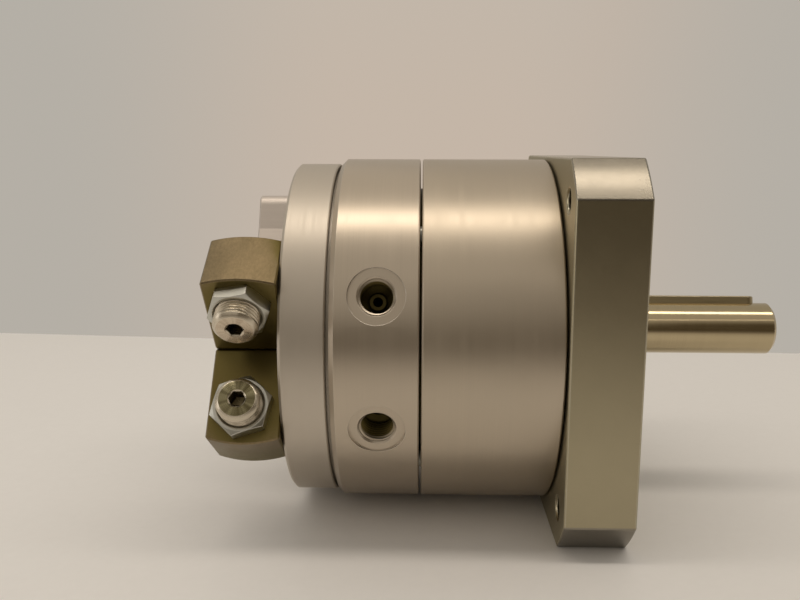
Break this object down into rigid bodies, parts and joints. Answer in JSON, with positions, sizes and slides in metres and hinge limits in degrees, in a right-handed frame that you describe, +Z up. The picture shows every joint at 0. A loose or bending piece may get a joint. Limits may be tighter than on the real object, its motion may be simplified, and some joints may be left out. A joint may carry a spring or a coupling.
{
  "type": "rotary pneumatic actuator",
  "caption": "Semi-rotary vane drive with a square mounting flange, keyed output shaft, radial air ports and an adjustable end-stop pair on its rear cover.",
  "frame": {"origin": "centre of the square flange's front mounting face, on the shaft axis", "axes": "+X out along the output shaft, +Z up, air ports and end stops towards -Y"},
  "size_m": [0.1692, 0.1089, 0.107],
  "materials": {
    "flange_aluminium": "brushed",
    "turned_aluminium": "turned",
    "anodised_aluminium": "matte anodised",
    "inner_aluminium": "machined",
    "ground_steel": "ground",
    "key_steel": "drawn",
    "bearing_steel": "polished",
    "cage_brass": "machined",
    "bush_bronze": "sintered",
    "spring_steel": "oiled",
    "seal_rubber": "matte",
    "buffer_elastomer": "matte",
    "stop_steel": "milled and browned",
    "lever_steel": "nickel plated",
    "zinc_steel": "zinc plated",
    "screw_steel": "turned",
    "black_screw_steel": "black oxide"
  },
  "bodies": {
    "housing": {"front_flange": "flange_aluminium", "front_housing": "turned_aluminium", "rear_housing": "turned_aluminium", "rear_cover": "anodised_aluminium", "front_separator": "inner_aluminium", "rear_separator": "inner_aluminium", "separator_dowel": "key_steel", "front_bearing_outer_ring": "bearing_steel", "rear_bearing_outer_ring": "bearing_steel", "middle_bush": "bush_bronze", "bearing_retaining_ring": "spring_steel", "front_rotor_seal": "seal_rubber", "front_partition_seal": "seal_rubber", "rear_partition_seal": "seal_rubber", "rear_rotor_seal": "seal_rubber", "shaft_wiper_seal": "seal_rubber", "front_o_ring": "seal_rubber", "middle_o_ring": "seal_rubber", "rear_o_ring": "seal_rubber", "front_separator_seal": "seal_rubber", "rear_separator_seal": "seal_rubber", "upper_stop_block": "stop_steel", "lower_stop_block": "stop_steel", "upper_t_nut": "stop_steel", "lower_t_nut": "stop_steel", "tie_screws": "zinc_steel", "upper_clamp_screw": "black_screw_steel", "lower_clamp_screw": "black_screw_steel"},
    "rotor": {"output_shaft": "ground_steel", "output_key": "key_steel", "vane_keys": "key_steel", "lever_key": "key_steel", "shaft_retaining_rings": "spring_steel", "front_vane": "inner_aluminium", "rear_vane": "inner_aluminium", "front_vane_seal": "seal_rubber", "rear_vane_seal": "seal_rubber", "front_bearing_inner_ring": "bearing_steel", "rear_bearing_inner_ring": "bearing_steel", "stop_lever": "lever_steel", "lever_washer": "lever_steel", "lever_screw": "black_screw_steel"},
    "front_ball_set": {"front_bearing_cage": "cage_brass", "front_bearing_balls": "bearing_steel"},
    "rear_ball_set": {"rear_bearing_cage": "cage_brass", "rear_bearing_balls": "bearing_steel"},
    "upper_buffer": {"upper_stop_buffer": "buffer_elastomer"},
    "upper_sleeve": {"upper_stop_sleeve": "screw_steel"},
    "upper_nut": {"upper_lock_nut": "zinc_steel"},
    "lower_buffer": {"lower_stop_buffer": "buffer_elastomer"},
    "lower_sleeve": {"lower_stop_sleeve": "screw_steel"},
    "lower_nut": {"lower_lock_nut": "zinc_steel"}
  },
  "joints": [
    {"name": "rotor_turn", "type": "hinge", "parent": "housing", "child": "rotor", "pos_m": [0, 0, 0], "axis": [1, 0, 0], "range_deg": [-195.4, 60.6]},
    {"name": "front_ball_roll", "type": "hinge", "parent": "housing", "child": "front_ball_set", "pos_m": [-0.011, 0, 0], "axis": [1, 0, 0], "range_deg": [-78, 25]},
    {"name": "rear_ball_roll", "type": "hinge", "parent": "housing", "child": "rear_ball_set", "pos_m": [-0.0899, 0, 0], "axis": [1, 0, 0], "range_deg": [-84, 27]},
    {"name": "upper_stop_travel", "type": "slide", "parent": "housing", "child": "upper_buffer", "axis": [0, -0.8164, -0.5774], "range_m": [0, 0.004]},
    {"name": "upper_stop_turn", "type": "hinge", "parent": "upper_buffer", "child": "upper_sleeve", "pos_m": [-0.1056, -0.0423, 0.01651], "axis": [0, -0.8164, -0.5774], "range_deg": [0, 1440]},
    {"name": "upper_nut_turn", "type": "hinge", "parent": "housing", "child": "upper_nut", "pos_m": [-0.1056, -0.04638, 0.01362], "axis": [0, -0.8164, -0.5774], "range_deg": [0, 90]},
    {"name": "lower_stop_travel", "type": "slide", "parent": "housing", "child": "lower_buffer", "axis": [0, -0.8083, 0.5888], "range_m": [0, 0.004]},
    {"name": "lower_stop_turn", "type": "hinge", "parent": "lower_buffer", "child": "lower_sleeve", "pos_m": [-0.1056, -0.04252, -0.01592], "axis": [0, -0.8083, 0.5888], "range_deg": [0, 1440]},
    {"name": "lower_nut_turn", "type": "hinge", "parent": "housing", "child": "lower_nut", "pos_m": [-0.1056, -0.04656, -0.01297], "axis": [0, -0.8083, 0.5888], "range_deg": [0, 90]}
  ],
  "couplings": [
    {"joint": "front_ball_roll", "follows": "rotor_turn", "ratio": 0.3976},
    {"joint": "rear_ball_roll", "follows": "rotor_turn", "ratio": 0.4255},
    {"joint": "upper_stop_turn", "follows": "upper_stop_travel", "rad_per_m": 6283.2},
    {"joint": "lower_stop_turn", "follows": "lower_stop_travel", "rad_per_m": 6283.2}
  ]
}
